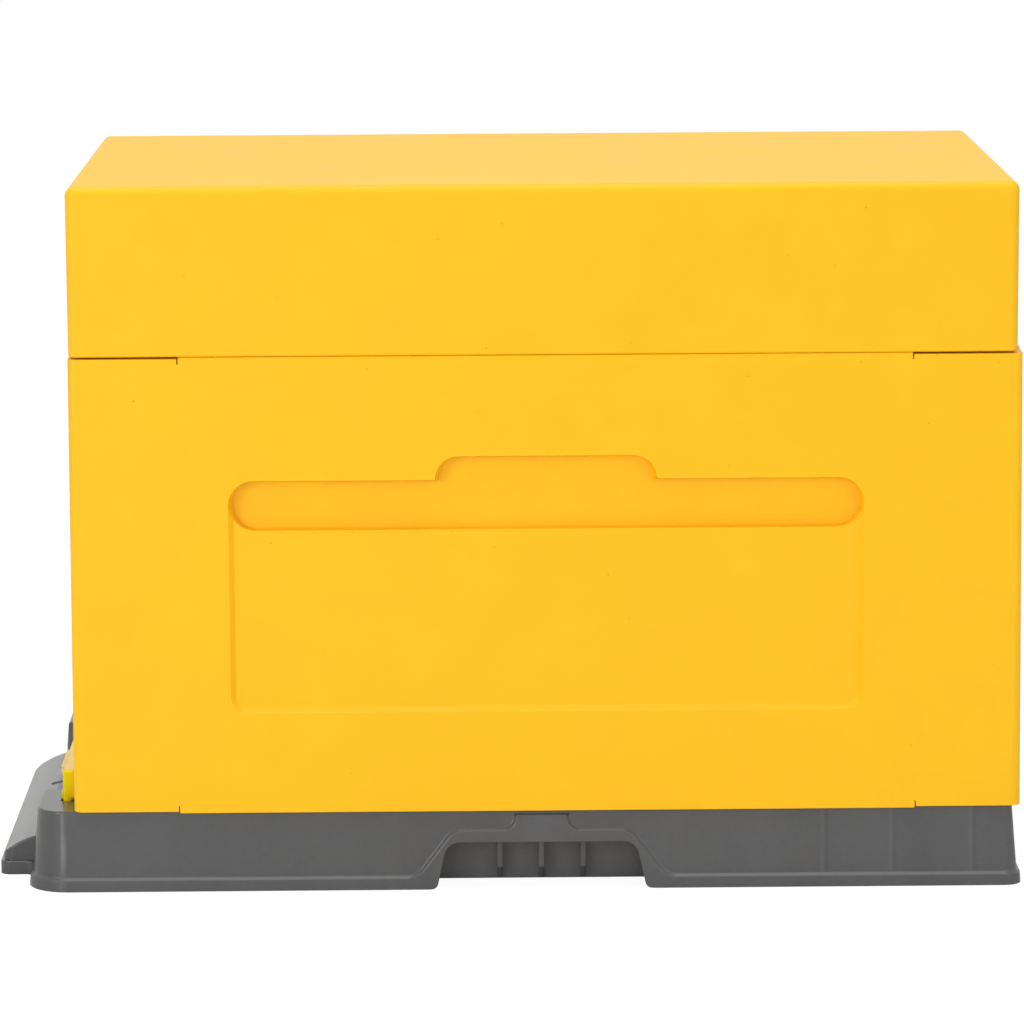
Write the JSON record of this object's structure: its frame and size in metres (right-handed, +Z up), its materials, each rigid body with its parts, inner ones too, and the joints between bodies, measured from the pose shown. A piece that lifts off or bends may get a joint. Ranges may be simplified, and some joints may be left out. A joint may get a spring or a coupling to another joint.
{
  "type": "nuc box",
  "caption": "Insulated nucleus beehive: foam box and roof on a moulded floor with a landing apron, lift-out gate, inspection tray, hanging frames and a feeder under the roof.",
  "frame": {"origin": "on the ground, under the middle of the whole outline", "axes": "+X along the box away from the entrance, +Y across the frames, +Z up"},
  "size_m": [0.5918, 0.306, 0.406],
  "materials": {
    "foam": "matte",
    "floor_grey": "satin",
    "grid_grey": "satin",
    "tray_white": "satin",
    "gate_lemon": "satin",
    "strip_grey": "satin",
    "frame_wood": "matte",
    "wax": "satin",
    "clear_sheet": "gloss",
    "feeder_white": "satin",
    "clear_cup": "gloss"
  },
  "bodies": {
    "floor": {"floor_shell": "floor_grey", "vent_grid": "grid_grey"},
    "tray": {"inspection_tray": "tray_white"},
    "gate": {"entrance_gate": "gate_lemon"},
    "box": {"hive_body": "foam", "frame_rest_front": "strip_grey", "frame_rest_rear": "strip_grey"},
    "frame_1": {"frame_1_top_bar": "frame_wood", "frame_1_side_bars": "frame_wood", "frame_1_bottom_bar": "frame_wood", "frame_1_foundation": "wax"},
    "frame_2": {"frame_2_top_bar": "frame_wood", "frame_2_side_bars": "frame_wood", "frame_2_bottom_bar": "frame_wood", "frame_2_foundation": "wax"},
    "frame_3": {"frame_3_top_bar": "frame_wood", "frame_3_side_bars": "frame_wood", "frame_3_bottom_bar": "frame_wood", "frame_3_foundation": "wax"},
    "frame_4": {"frame_4_top_bar": "frame_wood", "frame_4_side_bars": "frame_wood", "frame_4_bottom_bar": "frame_wood", "frame_4_foundation": "wax"},
    "frame_5": {"frame_5_top_bar": "frame_wood", "frame_5_side_bars": "frame_wood", "frame_5_bottom_bar": "frame_wood", "frame_5_foundation": "wax"},
    "frame_6": {"frame_6_top_bar": "frame_wood", "frame_6_side_bars": "frame_wood", "frame_6_bottom_bar": "frame_wood", "frame_6_foundation": "wax"},
    "crown": {"crown_board": "clear_sheet"},
    "feeder": {"feeder_tub": "feeder_white"},
    "cup": {"feeder_cup": "clear_cup"},
    "lid": {"feeder_lid": "clear_cup"},
    "roof": {"roof": "foam"}
  },
  "joints": [
    {"name": "tray_draw", "type": "slide", "parent": "floor", "child": "tray", "axis": [1, 0, 0], "range_m": [0, 0.53]},
    {"name": "gate_lift", "type": "slide", "parent": "floor", "child": "gate", "axis": [0, 0, 1], "range_m": [0, 0.045]},
    {"name": "box_lift", "type": "slide", "parent": "floor", "child": "box", "axis": [0, 0, 1], "range_m": [0, 0.2]},
    {"name": "frame_1_lift", "type": "slide", "parent": "box", "child": "frame_1", "axis": [0, 0, 1], "range_m": [0, 0.006]},
    {"name": "frame_2_lift", "type": "slide", "parent": "box", "child": "frame_2", "axis": [0, 0, 1], "range_m": [0, 0.006]},
    {"name": "frame_3_lift", "type": "slide", "parent": "box", "child": "frame_3", "axis": [0, 0, 1], "range_m": [0, 0.006]},
    {"name": "frame_4_lift", "type": "slide", "parent": "box", "child": "frame_4", "axis": [0, 0, 1], "range_m": [0, 0.006]},
    {"name": "frame_5_lift", "type": "slide", "parent": "box", "child": "frame_5", "axis": [0, 0, 1], "range_m": [0, 0.006]},
    {"name": "frame_6_lift", "type": "slide", "parent": "box", "child": "frame_6", "axis": [0, 0, 1], "range_m": [0, 0.006]},
    {"name": "crown_lift", "type": "slide", "parent": "box", "child": "crown", "axis": [0, 0, 1], "range_m": [0, 0.15]},
    {"name": "feeder_lift", "type": "slide", "parent": "crown", "child": "feeder", "axis": [0, 0, 1], "range_m": [0, 0.12]},
    {"name": "cup_lift", "type": "slide", "parent": "feeder", "child": "cup", "axis": [0, 0, 1], "range_m": [0, 0.08]},
    {"name": "lid_lift", "type": "slide", "parent": "cup", "child": "lid", "axis": [0, 0, 1], "range_m": [0, 0.08]},
    {"name": "roof_lift", "type": "slide", "parent": "lid", "child": "roof", "axis": [0, 0, 1], "range_m": [0, 0.15]}
  ]
}
